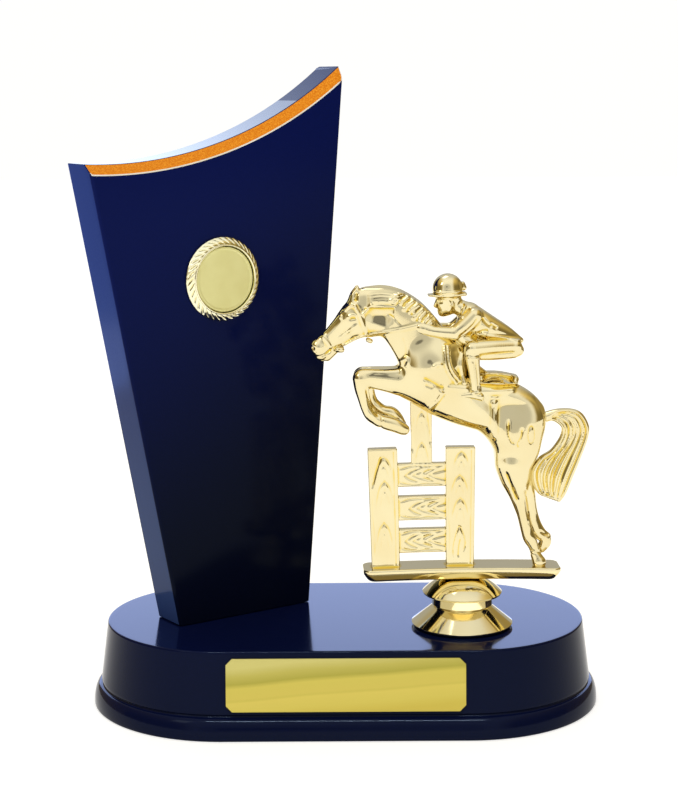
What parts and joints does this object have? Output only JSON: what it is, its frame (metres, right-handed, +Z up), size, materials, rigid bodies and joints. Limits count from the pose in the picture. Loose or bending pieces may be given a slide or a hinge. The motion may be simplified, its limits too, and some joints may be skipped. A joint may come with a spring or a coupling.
{
  "type": "horse-jumping trophy",
  "caption": "Trophy with a gilt horse and rider leaping a fence on a turned riser, beside a swept navy award board with a medallion, on a lacquered oval plinth with a bare nameplate.",
  "frame": {"origin": "middle of the plinth's flat underside", "axes": "+Z up, -Y out of the plinth's front, where the nameplate is, +X to the right as seen from the front"},
  "size_m": [0.2019, 0.1074, 0.2481],
  "materials": {
    "lacquer": "navy high-gloss lacquer over wood-fibre board",
    "gilt": "vacuum-metallised pale gold mirror",
    "matt_gold": "matt pale gold",
    "satin_gold": "satin brushed gold"
  },
  "bodies": {
    "root": {"base": "lacquer", "board": "lacquer", "medallion_holder": "gilt", "medallion_insert": "matt_gold", "nameplate": "satin_gold", "figure_riser": "gilt", "figure": "gilt"}
  },
  "joints": []
}
